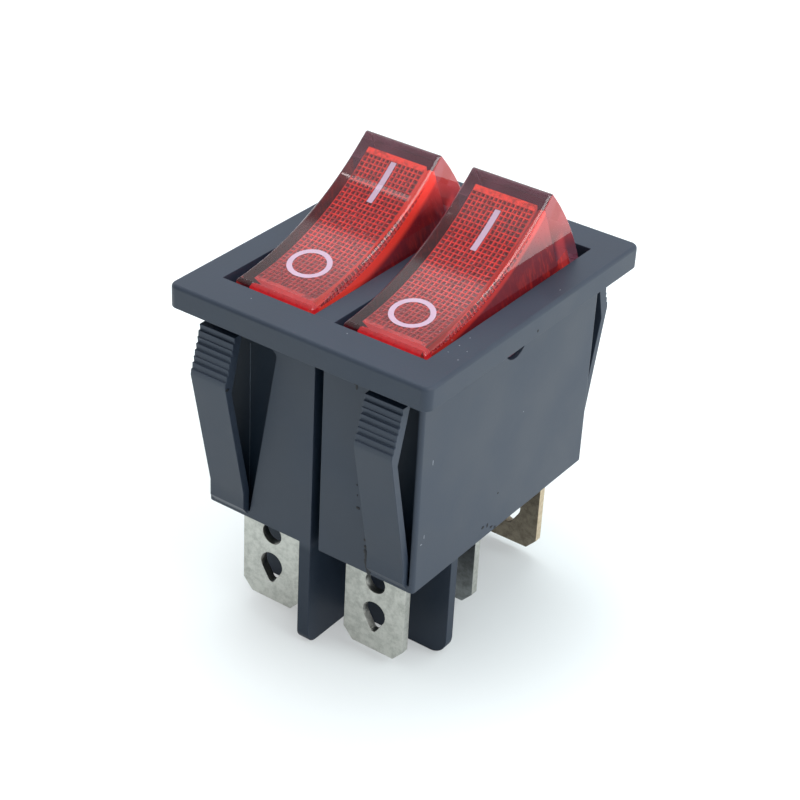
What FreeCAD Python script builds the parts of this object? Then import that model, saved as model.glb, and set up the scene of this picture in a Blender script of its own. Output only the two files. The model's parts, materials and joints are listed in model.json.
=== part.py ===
# Twin illuminated rocker switch for panel mounting: a moulded housing with a bezel, four spring
# wings and two switch cells, each with a clear lens over a red core, a see-saw contact lever on
# the line terminal, a sprung plunger, a neon lamp with its resistor and three blade terminals.
#
# Frame: millimetres. The origin is the centre of the panel cut-out in the plane of the bezel's
# underside, where the bezel meets the panel. +Z points out of the panel to the user, +Y runs
# along the rockers to their "on" end, and +X runs across the two rockers.

import FreeCAD, Part
import math
import os

# Bezel
bezel_width = 26.0
bezel_length = 31.6
bezel_height = 2.1
bezel_corner = 0.8
bezel_edge = 0.35
bar_recess = 0.25

# Housing body below the bezel
body_width = 21.8
body_length = 26.4
body_depth = 19.6
body_corner = 0.4
side_wall = 0.7
floor_thickness = 1.5
partition_thickness = 2.0
well_length = 24.3
well_depth = 1.2
cell_length = 23.0

# Spring wings in their pockets, heights below the bezel's underside
wing_width = 3.7
wing_outer = 10.25
wing_top = 1.0
wing_knee = 5.3
wing_knee_reach = 3.05
wing_top_reach = 1.8
wing_root_reach = 0.6
wing_foot = 0.7
wing_bend_rise = 2.0
wing_thickness = 0.8
wing_knee_thickness = 0.88
wing_ridges = 8
ridge_depth = 0.16
pocket_top = 2.0
pocket_depth = 1.05
pocket_lip = 0.4
pocket_slit = 0.2
pocket_flare = 2.75
pocket_corner = 0.6

# Slot in the front wall beside the partition
slot_left = 0.27
slot_width = 0.86
slot_top = 1.1
slot_depth = 1.6

# Barriers between the terminals, under the body
barrier_depth = 10.6
barrier_left = -0.93
barrier_thickness = 1.2
barrier_round = 1.2
barrier_sink = 0.5
cross_barrier_front = -6.9
cross_barrier_thickness = 1.0
cross_barrier_round = 1.6

# Rocker, measured from its pivot with the rocker level
pivot_drop = 1.35
trunnion_radius = 1.6
trunnion_clearance = 0.05
trunnion_recess = 0.35
rocker_gap = 0.45
rocker_draft = 0.2
left_rocker_shift = 0.35
right_rocker_shift = 0.2
rocker_tilt = 23.2
rocker_top_half = 9.4
rocker_top_height = 8.0
rocker_saddle = 1.6
rocker_foot_half = 11.05
rocker_foot_drop = 1.3
rocker_end_bulge = 0.45
lens_skirt = 1.9
lens_wall = 0.9
lens_top = 1.2
lens_edge = 0.25
core_clearance = 0.05
core_wall = 0.8
core_top = 1.0
core_skirt = 1.3
core_shoulder = 0.45

# Plunger and its spring in the core's boss
boss_radius = 2.0
boss_depth = 5.3
boss_bore_top = 0.6
plunger_radius = 1.15
plunger_clearance = 0.05
plunger_reach = 8.5
plunger_length = 5.5
plunger_stem = 0.9
plunger_stem_radius = 0.45
nose_angle = 55.0
spring_wire = 0.14
spring_radius = 0.82
spring_turns = 6
steps_per_turn = 7
wire_sides = 4

# Contact lever on its fulcrum
lever_width = 4.0
lever_thickness = 0.6
lever_tilt = 6.0
lever_saddle_radius = 5.5
lever_saddle_slope = 42.0
lever_crest = 4.6
lever_crest_radius = 0.7
lever_arm_drop = 0.35
lever_arm_start = 6.0
lever_front = 9.0
lever_back = 6.5
lever_gap = 0.1
fulcrum_clearance = 0.05
fulcrum_notch_clearance = 0.15
fulcrum_ear = 1.2

# Contacts
contact_place = 8.0
contact_radius = 1.3
contact_height = 0.7
contact_edge = 0.23
contact_gap = 0.06
rivet_radius = 0.7
rivet_head = 0.3

# Blade terminals
blade_width = 6.3
blade_thickness = 0.8
blade_length = 9.7
blade_pitch = 10.6
blade_slot_clearance = 0.05
blade_chamfer_width = 1.0
blade_chamfer_height = 1.1
blade_bend = 0.9
blade_hole_radius = 1.02
blade_hole_drop = 2.6
blade_tear_radius = 1.17
blade_tear_drop = 5.85
blade_tear_tip = 1.9
blade_tear_nose = 0.35
shelf_width = 4.4
load_shelf_end = 6.4
lamp_shelf_end = 6.9
lamp_shelf_drop = 13.4

# Lamp, resistor and lamp spring
lamp_radius = 1.7
lamp_length = 4.8
lamp_place = 2.6
lamp_height = 2.55
resistor_radius = 0.95
resistor_length = 4.8
resistor_place = 2.6
resistor_height = 2.9
lamp_spring_radius = 1.15
lamp_spring_wire = 0.16
lamp_spring_turns = 8
lamp_spring_place = 8.35

# How far a cutting shape runs past the face that it opens
cut_past = 1.0

# Derived places
cell_outer = body_width / 2 - side_wall
cell_inner = partition_thickness / 2
cell_width = cell_outer - cell_inner
cell_centre = (cell_outer + cell_inner) / 2
lens_width = cell_width - 2 * rocker_gap
spring_seat_height = core_shoulder - core_wall
front_face = -body_length / 2
wing_root = body_depth - wing_foot
wing_bend = wing_root - wing_bend_rise
barrier_foot = -body_depth - barrier_depth
blade_tip = -body_depth - blade_length
floor_top = -body_depth + floor_thickness
lever_valley = -pivot_drop - plunger_reach - lever_gap
fulcrum_height = lever_valley - lever_thickness
arm_height = fulcrum_height - lever_arm_drop
contact_under = lever_arm_drop + lever_thickness / 2 + contact_height
closed_height = (fulcrum_height - contact_under * math.cos(math.radians(lever_tilt))
                 - (contact_place + contact_radius) * math.sin(math.radians(lever_tilt)))
load_shelf_top = closed_height - contact_gap - contact_height

SIDES = {"left": -1, "right": 1}
ROCKER_SHIFTS = {"left": left_rocker_shift, "right": right_rocker_shift}
X_AXIS = FreeCAD.Vector(1, 0, 0)
Y_AXIS = FreeCAD.Vector(0, 1, 0)
Z_AXIS = FreeCAD.Vector(0, 0, 1)


def vec(x, y, z):
    return FreeCAD.Vector(x, y, z)


def box(x0, x1, y0, y1, z0, z1):
    return Part.makeBox(x1 - x0, y1 - y0, z1 - z0, vec(x0, y0, z0))


def rod(radius, start, end):
    along = end - start
    return Part.makeCylinder(radius, along.Length, start, along)


def plate_yz(points, x0, x1):
    """A plate between x0 and x1 with the outline given as (y, z) points."""
    outline = [vec(x0, y, z) for y, z in points]
    face = Part.Face(Part.makePolygon(outline + outline[:1]))
    return face.extrude(vec(x1 - x0, 0, 0))


def round_piece(profile):
    """A round piece about Z with its half section given as (radius, height) points."""
    outline = [vec(radius, 0, height) for radius, height in profile]
    face = Part.Face(Part.makePolygon(outline + outline[:1]))
    return face.revolve(vec(0, 0, 0), Z_AXIS, 360)


def nose(radius, height):
    """Half section of a blunt nose below the given height, from its tip to its side."""
    angle = math.radians(nose_angle)
    end = height - radius * math.sin(angle)
    return [(0, end), (radius * math.cos(angle), end), (radius, height)]


def edges_where(shape, test):
    """Edges of the shape whose ends all pass the test."""
    return [e for e in shape.Edges if e.Vertexes and all(test(v.Point) for v in e.Vertexes)]


def upright_edges(shape):
    found = []
    for edge in shape.Edges:
        if len(edge.Vertexes) == 2:
            a, b = [v.Point for v in edge.Vertexes]
            if abs(a.x - b.x) < 1e-6 and abs(a.y - b.y) < 1e-6:
                found.append(edge)
    return found


def turned(shape, degrees, centre):
    copy = shape.copy()
    copy.rotate(centre, X_AXIS, degrees)
    return copy


def mirrored_y(shape):
    return shape.mirror(vec(0, 0, 0), Y_AXIS)


def strip_path(corners, radii, offset):
    """Wire in the YZ plane along rounded corners, moved sideways by offset to its left."""
    lines = []
    for (y0, z0), (y1, z1) in zip(corners, corners[1:]):
        along = vec(0, y1 - y0, z1 - z0).normalize()
        left = vec(0, -along.z, along.y)
        lines.append((vec(0, y0, z0) + left * offset, along))
    first = lines[0][0]
    shift = lines[-1][0] - vec(0, *corners[-2])
    last = vec(0, *corners[-1]) + shift
    edges = []
    here = first
    for (p, u), (q, v), radius in zip(lines, lines[1:], radii):
        turn = u.y * v.z - u.z * v.y
        reach = ((q.y - p.y) * v.z - (q.z - p.z) * v.y) / turn
        corner = p + u * reach
        half = math.acos(max(-1.0, min(1.0, u.dot(v)))) / 2
        bend = radius - offset * math.copysign(1, turn)
        tangent = bend * math.tan(half)
        start = corner - u * tangent
        end = corner + v * tangent
        inward = (v - u).normalize()
        middle = corner + inward * (bend / math.cos(half) - bend)
        edges.append(Part.LineSegment(here, start).toShape())
        edges.append(Part.Arc(start, middle, end).toShape())
        here = end
    edges.append(Part.LineSegment(here, last).toShape())
    return edges, first, last


def bent_strip(corners, radii, thickness, x0, x1):
    """A strip of even thickness whose middle line follows the rounded corners."""
    upper, upper_first, upper_last = strip_path(corners, radii, thickness / 2)
    lower, lower_first, lower_last = strip_path(corners, radii, -thickness / 2)
    ends = [Part.LineSegment(upper_last, lower_last).toShape(),
            Part.LineSegment(lower_first, upper_first).toShape()]
    wire = Part.Wire(Part.__sortEdges__(upper + lower + ends))
    strip = Part.Face(wire).extrude(vec(x1 - x0, 0, 0))
    strip.translate(vec(x0, 0, 0))
    return strip


def coil_spring(mean_radius, wire_radius, turns, length):
    """A helical spring standing on Z = 0, its wire swept along short straight steps."""
    rise = (length - 2 * wire_radius) / (turns * steps_per_turn)
    path = []
    for step in range(turns * steps_per_turn + 1):
        angle = 2 * math.pi * step / steps_per_turn
        height = wire_radius + rise * step
        path.append(vec(mean_radius * math.cos(angle), mean_radius * math.sin(angle), height))
    along = path[1] - path[0]
    across = along.cross(Z_AXIS).normalize() * wire_radius
    upward = across.cross(along).normalize() * wire_radius
    section = []
    for side in range(wire_sides):
        angle = 2 * math.pi * side / wire_sides
        section.append(path[0] + across * math.cos(angle) + upward * math.sin(angle))
    outline = Part.makePolygon(section + section[:1])
    mitred = 1
    return Part.makePolygon(path).makePipeShell([outline], True, False, mitred)


# Housing

def bezel():
    plate = box(-bezel_width / 2, bezel_width / 2, -bezel_length / 2, bezel_length / 2, 0, bezel_height)
    plate = plate.makeFillet(bezel_corner, upright_edges(plate))
    top = edges_where(plate, lambda p: abs(p.z - bezel_height) < 1e-6)
    return plate.makeFillet(bezel_edge, top)


def body():
    half_x = body_width / 2
    half_y = body_length / 2
    block = box(-half_x, half_x, -half_y, half_y, -body_depth, bezel_height / 2)
    return block.makeFillet(body_corner, upright_edges(block))


def wing_outline():
    """Side view of a front wing: root, outer face, knee, ridges, top and inner face."""
    outer = [(0, wing_root + body_corner), (wing_root_reach, wing_root - body_corner),
             (wing_root_reach, wing_bend), (wing_knee_reach, wing_knee)]
    rise = (wing_knee - wing_top) / wing_ridges
    lean = (wing_knee_reach - wing_top_reach) / wing_ridges
    ridges = []
    for step in range(1, wing_ridges + 1):
        reach = wing_knee_reach - lean * step
        ridges.append((reach + lean / 2, wing_knee - rise * step))
        ridges.append((reach - ridge_depth, wing_knee - rise * step))
    top_inner = ridges[-1][0] - wing_thickness
    inner = [(top_inner, wing_top), (wing_knee_reach - wing_knee_thickness, wing_knee + wing_thickness),
             (wing_root_reach - wing_thickness, wing_bend), (wing_root_reach - wing_thickness, wing_root),
             (-wing_thickness, wing_root + body_corner)]
    return [(front_face - reach, -down) for reach, down in outer + ridges + inner]


def front_wing(side):
    x0, x1 = sorted([side * (wing_outer - wing_width), side * wing_outer])
    return plate_yz(wing_outline(), x0, x1)


def front_pocket(side):
    """Space behind and beside a wing. The left one flares towards the middle of the wall."""
    outer = body_width / 2 - pocket_lip
    foot = wing_outer - wing_width - pocket_slit
    head = foot - (pocket_flare if side < 0 else 0)
    outline = [vec(side * x, front_face - cut_past, -z) for x, z in
               [(outer, pocket_top), (head, pocket_top), (foot, wing_root), (outer, wing_root)]]
    face = Part.Face(Part.makePolygon(outline + outline[:1]))
    pocket = face.extrude(vec(0, cut_past + pocket_depth, 0))
    start = vec(side * head, 0, -pocket_top)
    corner = edges_where(pocket, lambda p: math.hypot(p.x - start.x, p.z - start.z) < 1e-6)
    return pocket.makeFillet(pocket_corner, corner)


def front_slot():
    return box(slot_left, slot_left + slot_width, front_face - cut_past, front_face + slot_depth,
               -body_depth - cut_past, -slot_top)


def barrier(x0, x1, y0, y1, corner_round):
    """An upright wall under the body with its lower outer corners rounded."""
    wall = box(x0, x1, y0, y1, barrier_foot, -body_depth + barrier_sink)
    foot_edges = edges_where(wall, lambda p: abs(p.z - barrier_foot) < 1e-6)
    ends = sorted(foot_edges, key=lambda e: e.Length)[:2]
    return wall.makeFillet(corner_round, ends)


def barriers():
    """Long barrier under the partition and cross barrier behind the front terminals."""
    half = body_width / 2 - body_corner
    long_one = barrier(barrier_left, barrier_left + barrier_thickness, front_face, -front_face,
                       barrier_round)
    cross = barrier(-half, half, cross_barrier_front, cross_barrier_front + cross_barrier_thickness,
                    cross_barrier_round)
    return [long_one, cross]


def cell(side):
    """The well in the bezel and the switch cell below it."""
    x0, x1 = sorted([side * cell_inner, side * cell_outer])
    well = box(x0, x1, -well_length / 2, well_length / 2, -well_depth, bezel_height + cut_past)
    room = box(x0, x1, -cell_length / 2, cell_length / 2, floor_top, 0)
    return well.fuse(room)


def pivot_hole():
    radius = trunnion_radius + trunnion_clearance
    across = body_width / 2
    hole = rod(radius, vec(-across, 0, -pivot_drop), vec(across, 0, -pivot_drop))
    web = cell_inner - (side_wall - trunnion_recess) - trunnion_clearance
    middle = rod(2 * radius, vec(-web, 0, -pivot_drop), vec(web, 0, -pivot_drop))
    return hole.cut(middle)


def blade_slots(side):
    half_x = blade_width / 2 + blade_slot_clearance
    half_y = blade_thickness / 2 + blade_slot_clearance
    x = side * cell_centre
    foot = -body_depth - cut_past
    return [box(x - half_x, x + half_x, y - half_y, y + half_y, foot, floor_top + cut_past)
            for y in (-blade_pitch, 0, blade_pitch)]


def housing():
    solid = bezel().fuse(body())
    for side in SIDES.values():
        pocket = front_pocket(side)
        solid = solid.cut([pocket, mirrored_y(pocket)])
    solid = solid.cut([cell(-1), cell(1), front_slot()])
    bar = box(-cell_inner, cell_inner, -well_length / 2, well_length / 2,
              bezel_height - bar_recess, bezel_height + cut_past)
    solid = solid.cut([bar, pivot_hole()])
    wings = []
    for side in SIDES.values():
        wing = front_wing(side)
        wings += [wing, mirrored_y(wing)]
    solid = solid.fuse(wings + barriers())
    for side in SIDES.values():
        solid = solid.cut(blade_slots(side))
    return solid.removeSplitter()


# Rocker, drawn level about its pivot and then set at rest

def face_of(edges):
    return Part.Face(Part.Wire(Part.__sortEdges__(edges)))


def flip(p):
    return vec(p.x, -p.y, p.z)


def rocker_outline():
    """Side view of the rocker: a hollow top, bulging ends and a short skirt, in the YZ plane."""
    head = vec(0, rocker_top_half, rocker_top_height)
    heel = vec(0, rocker_foot_half, -rocker_foot_drop)
    base = vec(0, rocker_foot_half, -lens_skirt)
    middle = vec(0, 0, rocker_top_height - rocker_saddle)
    chord = heel - head
    outward = vec(0, -chord.z, chord.y).normalize()
    bulge = head + chord * 0.5 + outward * rocker_end_bulge
    return face_of([Part.Arc(flip(head), middle, head).toShape(),
                    Part.Arc(head, bulge, heel).toShape(),
                    Part.LineSegment(heel, base).toShape(),
                    Part.LineSegment(base, flip(base)).toShape(),
                    Part.LineSegment(flip(base), flip(heel)).toShape(),
                    Part.Arc(flip(heel), flip(bulge), flip(head)).toShape()])


def hood_outline(end_inset, top_inset, skirt):
    """Side view of a hood in the rocker: the same top, upright ends and a shoulder to its foot."""
    top = rocker_top_height - top_inset
    half = rocker_top_half - end_inset
    foot = rocker_foot_half - end_inset
    shoulder = core_shoulder + lens_wall + core_clearance - end_inset
    head = vec(0, half, top)
    end = [head, vec(0, half, shoulder), vec(0, foot, shoulder), vec(0, foot, -skirt)]
    corners = end + [flip(p) for p in reversed(end)]
    edges = [Part.LineSegment(a, b).toShape() for a, b in zip(corners, corners[1:])]
    return face_of(edges + [Part.Arc(flip(head), vec(0, 0, top - rocker_saddle), head).toShape()])


def rocker_block(outline, side_inset):
    """The outline made solid across the rocker, its sides leaning in to the top by the draft."""
    lean = rocker_draft / (rocker_top_height + lens_skirt)
    low = -lens_skirt - 2 * cut_past
    high = rocker_top_height + cut_past
    foot, head = [lens_width / 2 - side_inset - lean * (z + lens_skirt) for z in (low, high)]
    reach = rocker_foot_half + cut_past
    section = [vec(-foot, -reach, low), vec(foot, -reach, low), vec(head, -reach, high),
               vec(-head, -reach, high)]
    sides = Part.Face(Part.makePolygon(section + section[:1])).extrude(vec(0, 2 * reach, 0))
    block = outline.extrude(vec(lens_width, 0, 0))
    block.translate(vec(-lens_width / 2, 0, 0))
    return block.common(sides)


def lens(shift):
    """Clear hood with its trunnions, which reach into the cell's walls on both sides."""
    shell = rocker_block(rocker_outline(), 0)
    rim = edges_where(shell, lambda p: abs(p.z - rocker_top_height) < 1e-6)
    shell = shell.makeChamfer(lens_edge, rim)
    hollow = hood_outline(lens_wall, lens_top, lens_skirt + cut_past)
    shell = shell.cut(rocker_block(hollow, lens_wall))
    start = lens_width / 2 - lens_wall
    reach = cell_width / 2 + side_wall - trunnion_recess
    for side in SIDES.values():
        end = side * reach - shift
        shell = shell.fuse(rod(trunnion_radius, vec(side * start, 0, 0), vec(end, 0, 0)))
    return shell.removeSplitter()


def core():
    """Red inner moulding: a hood under the lens whose shoulder is the lamp spring's seat, and a
    boss for the plunger."""
    inset = lens_wall + core_clearance
    top_inset = lens_top + core_clearance
    room = inset + core_wall
    solid = rocker_block(hood_outline(inset, top_inset, core_skirt), inset)
    inside = hood_outline(room, top_inset + core_top, core_skirt + cut_past)
    solid = solid.cut(rocker_block(inside, room))
    crown = rocker_top_height - rocker_saddle - top_inset - core_top / 2
    boss = rod(boss_radius, vec(0, 0, -boss_depth), vec(0, 0, crown))
    bore = rod(plunger_radius + plunger_clearance, vec(0, 0, -boss_depth - cut_past),
               vec(0, 0, boss_bore_top))
    return solid.fuse(boss).cut(bore).removeSplitter()


def plunger():
    """Blunt peg that slides in the boss, with a stem inside its spring."""
    top = plunger_length - plunger_reach
    end = top + plunger_stem
    return round_piece(nose(plunger_radius, plunger_radius - plunger_reach)
                       + [(plunger_radius, top), (plunger_stem_radius, top),
                          (plunger_stem_radius, end), (0, end)])


def plunger_spring():
    foot = plunger_length - plunger_reach
    spring = coil_spring(spring_radius, spring_wire, spring_turns, boss_bore_top - foot)
    spring.translate(vec(0, 0, foot))
    return spring


def neon_lamp():
    """Glass bulb that lies along the rocker with its nose to the raised end."""
    shoulder = lamp_place + lamp_length - lamp_radius
    bulb = round_piece(nose(lamp_radius, -shoulder) + [(lamp_radius, -lamp_place), (0, -lamp_place)])
    bulb = turned(bulb, 90, vec(0, 0, 0))
    bulb.translate(vec(0, 0, lamp_height))
    return bulb


def resistor():
    near = -resistor_place
    far = near - resistor_length
    return rod(resistor_radius, vec(0, far, resistor_height), vec(0, near, resistor_height))


def at_rest(shape, side, shift):
    """Tilts a level rocker piece to its "off" position and sets it in its cell, as far to the
    right of the middle as its end play lets it rest."""
    placed = turned(shape, rocker_tilt, vec(0, 0, 0))
    placed.translate(vec(side * cell_centre + shift, 0, -pivot_drop))
    return placed


# Lever and terminals

def lever():
    """Bent strip: a saddle for the plunger over the fulcrum, with an arm each way."""
    middle_radius = lever_saddle_radius + lever_thickness / 2
    slope = math.radians(lever_saddle_slope)
    saddle_centre = lever_valley + lever_saddle_radius
    low = saddle_centre - middle_radius / math.cos(slope)
    high = low + lever_crest * math.tan(slope)
    corners = [(-lever_front, arm_height), (-lever_arm_start, arm_height), (-lever_crest, high),
               (0, low),
               (lever_crest, high), (lever_arm_start, arm_height), (lever_back, arm_height)]
    crest = lever_crest_radius
    radii = [crest, crest, middle_radius, crest, crest]
    return bent_strip(corners, radii, lever_thickness, -lever_width / 2, lever_width / 2)


def lever_contact():
    under = arm_height - lever_thickness / 2
    face = under - contact_height
    dome = rod(contact_radius, vec(0, -contact_place, face), vec(0, -contact_place, under))
    rim = edges_where(dome, lambda p: abs(p.z - face) < 1e-6)
    return dome.makeChamfer(contact_edge, rim)


def fixed_contact():
    top = load_shelf_top + contact_height
    seat = vec(0, -contact_place, load_shelf_top)
    dome = rod(contact_radius, seat, vec(0, -contact_place, top))
    rim = edges_where(dome, lambda p: abs(p.z - top) < 1e-6)
    dome = dome.makeChamfer(contact_edge, rim)
    rivet_end = load_shelf_top - blade_thickness - rivet_head
    shank = rod(rivet_radius, vec(0, -contact_place, rivet_end), seat)
    return dome.fuse(shank).removeSplitter()


def lever_at_rest(shape, side):
    placed = turned(shape, -lever_tilt, vec(0, 0, fulcrum_height))
    placed.translate(vec(side * cell_centre, 0, 0))
    return placed


def blade_cuts(y):
    """Chamfered lower corners, a round hole and a drop-shaped solder hole."""
    half = blade_width / 2
    near, far = y - blade_thickness, y + blade_thickness
    cuts = []
    for side in SIDES.values():
        outer = side * (half + cut_past)
        inner = side * (half - blade_chamfer_width)
        chamfer_top = blade_tip + blade_chamfer_height
        corner = [vec(inner, near, blade_tip - cut_past), vec(inner, near, blade_tip),
                  vec(side * half, near, chamfer_top), vec(outer, near, chamfer_top),
                  vec(outer, near, blade_tip - cut_past)]
        cuts.append(Part.Face(Part.makePolygon(corner + corner[:1])).extrude(vec(0, far - near, 0)))
    round_z = -body_depth - blade_hole_drop
    cuts.append(rod(blade_hole_radius, vec(0, near, round_z), vec(0, far, round_z)))
    tear_z = -body_depth - blade_tear_drop
    nose_z = tear_z - blade_tear_tip + blade_tear_nose
    touch = math.acos((blade_tear_radius - blade_tear_nose) / (tear_z - nose_z))
    flanks = []
    for radius, z in ((blade_tear_radius, tear_z), (blade_tear_nose, nose_z)):
        cuts.append(rod(radius, vec(0, near, z), vec(0, far, z)))
        flanks.append((radius * math.sin(touch), z - radius * math.cos(touch)))
    (wide_x, wide_z), (nose_x, nose_low) = flanks
    drop = [vec(-wide_x, near, wide_z), vec(wide_x, near, wide_z), vec(nose_x, near, nose_low),
            vec(-nose_x, near, nose_low)]
    cuts.append(Part.Face(Part.makePolygon(drop + drop[:1])).extrude(vec(0, far - near, 0)))
    return cuts


def shelf_terminal(y, shelf_end, shelf_top):
    """Blade that rises through the floor and bends to a level shelf towards the middle."""
    level = shelf_top - blade_thickness / 2
    corners = [(y, blade_tip), (y, level), (math.copysign(shelf_end, y), level)]
    strip = bent_strip(corners, [blade_bend], blade_thickness, -blade_width / 2, blade_width / 2)
    strip = strip.cut(blade_cuts(y))
    waist = floor_top + blade_thickness
    for side in SIDES.values():
        x0, x1 = sorted([side * shelf_width / 2, side * blade_width])
        strip = strip.cut(box(x0, x1, -body_length, body_length, waist, 0))
    return strip.removeSplitter()


def load_terminal():
    blade = shelf_terminal(-blade_pitch, load_shelf_end, load_shelf_top)
    under = load_shelf_top - blade_thickness
    hole = rod(rivet_radius, vec(0, -contact_place, under - cut_past),
               vec(0, -contact_place, load_shelf_top + cut_past))
    return blade.cut(hole)


def lamp_terminal():
    return shelf_terminal(blade_pitch, lamp_shelf_end, -lamp_shelf_drop)


def line_terminal():
    """Blade whose fork carries the lever: the floor of the notch is the fulcrum."""
    seat = fulcrum_height - fulcrum_clearance
    half_y = blade_thickness / 2
    half_x = blade_width / 2
    blade = box(-half_x, half_x, -half_y, half_y, blade_tip, seat + fulcrum_ear)
    notch = lever_width / 2 + fulcrum_notch_clearance
    blade = blade.cut(box(-notch, notch, -half_y, half_y, seat, seat + fulcrum_ear))
    return blade.cut(blade_cuts(0)).removeSplitter()


def lamp_spring():
    """Spring from the lamp terminal's shelf to the seat in the tilted core."""
    tilt = math.radians(rocker_tilt)
    seat_y = lamp_spring_place / math.cos(tilt)
    lean = seat_y * math.sin(tilt) + spring_seat_height * math.cos(tilt) - pivot_drop
    top = lean - lamp_spring_radius * math.tan(tilt) - 2 * lamp_spring_wire
    length = top + lamp_shelf_drop
    spring = coil_spring(lamp_spring_radius, lamp_spring_wire, lamp_spring_turns, length)
    spring.translate(vec(0, lamp_spring_place, -lamp_shelf_drop))
    return spring


def in_cell(shape, side):
    placed = shape.copy()
    placed.translate(vec(side * cell_centre, 0, 0))
    return placed


def build():
    parts = {"housing": housing()}
    for name, side in SIDES.items():
        shift = ROCKER_SHIFTS[name]
        parts[f"{name}_lens"] = at_rest(lens(shift), side, shift)
        for piece in (core, plunger, plunger_spring, neon_lamp, resistor):
            parts[f"{name}_{piece.__name__}"] = at_rest(piece(), side, shift)
        for piece in (lever, lever_contact):
            parts[f"{name}_{piece.__name__}"] = lever_at_rest(piece(), side)
        for piece in (load_terminal, line_terminal, lamp_terminal, fixed_contact, lamp_spring):
            parts[f"{name}_{piece.__name__}"] = in_cell(piece(), side)
    return parts


os.makedirs("parts", exist_ok=True)
for node, shape in build().items():
    shape.exportStep(f"parts/{node}.step")
    print(f"{node}: {shape.Volume:.2f} mm3")
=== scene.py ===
import json
import math

import bmesh
import bpy
from mathutils import Matrix, Vector

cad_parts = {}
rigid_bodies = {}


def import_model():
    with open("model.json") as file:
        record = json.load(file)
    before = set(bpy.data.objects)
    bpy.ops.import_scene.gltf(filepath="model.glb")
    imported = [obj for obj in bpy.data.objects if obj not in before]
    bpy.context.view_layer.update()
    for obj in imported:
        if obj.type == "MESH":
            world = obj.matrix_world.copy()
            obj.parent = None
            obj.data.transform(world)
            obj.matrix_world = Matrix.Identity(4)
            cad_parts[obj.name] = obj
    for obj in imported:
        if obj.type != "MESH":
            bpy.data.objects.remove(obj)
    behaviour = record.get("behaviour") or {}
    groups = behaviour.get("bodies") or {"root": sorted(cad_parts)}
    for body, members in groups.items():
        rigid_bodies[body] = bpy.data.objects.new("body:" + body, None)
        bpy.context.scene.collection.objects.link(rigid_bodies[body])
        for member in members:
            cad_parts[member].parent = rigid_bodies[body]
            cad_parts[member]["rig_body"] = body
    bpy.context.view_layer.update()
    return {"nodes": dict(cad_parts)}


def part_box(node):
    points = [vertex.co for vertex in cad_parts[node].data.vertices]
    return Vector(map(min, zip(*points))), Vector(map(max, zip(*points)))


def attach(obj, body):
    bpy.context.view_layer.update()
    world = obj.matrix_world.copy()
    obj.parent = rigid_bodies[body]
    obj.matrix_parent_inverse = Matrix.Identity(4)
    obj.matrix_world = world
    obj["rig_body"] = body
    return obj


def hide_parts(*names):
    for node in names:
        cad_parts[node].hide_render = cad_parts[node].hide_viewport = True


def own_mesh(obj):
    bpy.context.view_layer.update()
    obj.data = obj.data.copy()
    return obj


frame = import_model()
nodes = frame["nodes"]
scene = bpy.context.scene
scene.view_settings.view_transform = "Standard"
MM = 0.001
SIDES = ("left", "right")


# Camera: a long lens about 17 cm away, looking down on the switch from its right front corner,
# with the slight roll that the photograph has.
bpy.ops.object.camera_add(location=(0.08492, -0.12519, 0.08211),
                          rotation=[math.radians(a) for a in (58.235, -2.616, 35.879)])
camera = bpy.context.object
camera.name = "camera"
camera.data.lens = 92.01
camera.data.sensor_width = 36
camera.data.clip_start = 0.01
camera.data.clip_end = 10
scene.camera = camera


# Studio: a plain white table under the foot of the barriers, soft white surroundings, and soft
# lamps above. The table is bright by itself to the camera, keeps the switch's soft shadow, and has
# a painted shadow around the switch's foot.
def set_inputs(node, values):
    """Sets inputs of a node, as {input: value}."""
    for socket, value in values.items():
        node.inputs[socket].default_value = value


def new_material(name):
    """A material with a Principled shader, its node tree and that shader."""
    material = bpy.data.materials.new(name)
    material.use_nodes = True
    tree = material.node_tree
    return material, tree, tree.nodes["Principled BSDF"]


def ramp_in(tree, value, start, end, low=0.0, high=1.0, kind="SMOOTHSTEP"):
    """Maps a value from start..end to low..high, held at both ends."""
    made = tree.nodes.new("ShaderNodeMapRange")
    made.interpolation_type = kind
    set_inputs(made, {"From Min": start, "From Max": end, "To Min": low, "To Max": high})
    tree.links.new(value, made.inputs["Value"])
    return made.outputs["Result"]


def calculate(tree, operation, *values):
    """One step of arithmetic on sockets or numbers."""
    made = tree.nodes.new("ShaderNodeMath")
    made.operation = operation
    for socket, value in zip(made.inputs, values):
        if isinstance(value, (int, float)):
            socket.default_value = value
        else:
            tree.links.new(value, socket)
    return made.outputs[0]


def object_place(tree):
    """The outlet for the place on a piece, in metres."""
    return tree.nodes.new("ShaderNodeTexCoord").outputs["Object"]


table_radius = 1.6
floor_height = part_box("housing")[0].z
bpy.ops.mesh.primitive_circle_add(vertices=96, radius=table_radius, fill_type="NGON",
                                  location=(0, 0, floor_height))
floor = bpy.context.object
floor.name = "table"
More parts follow.
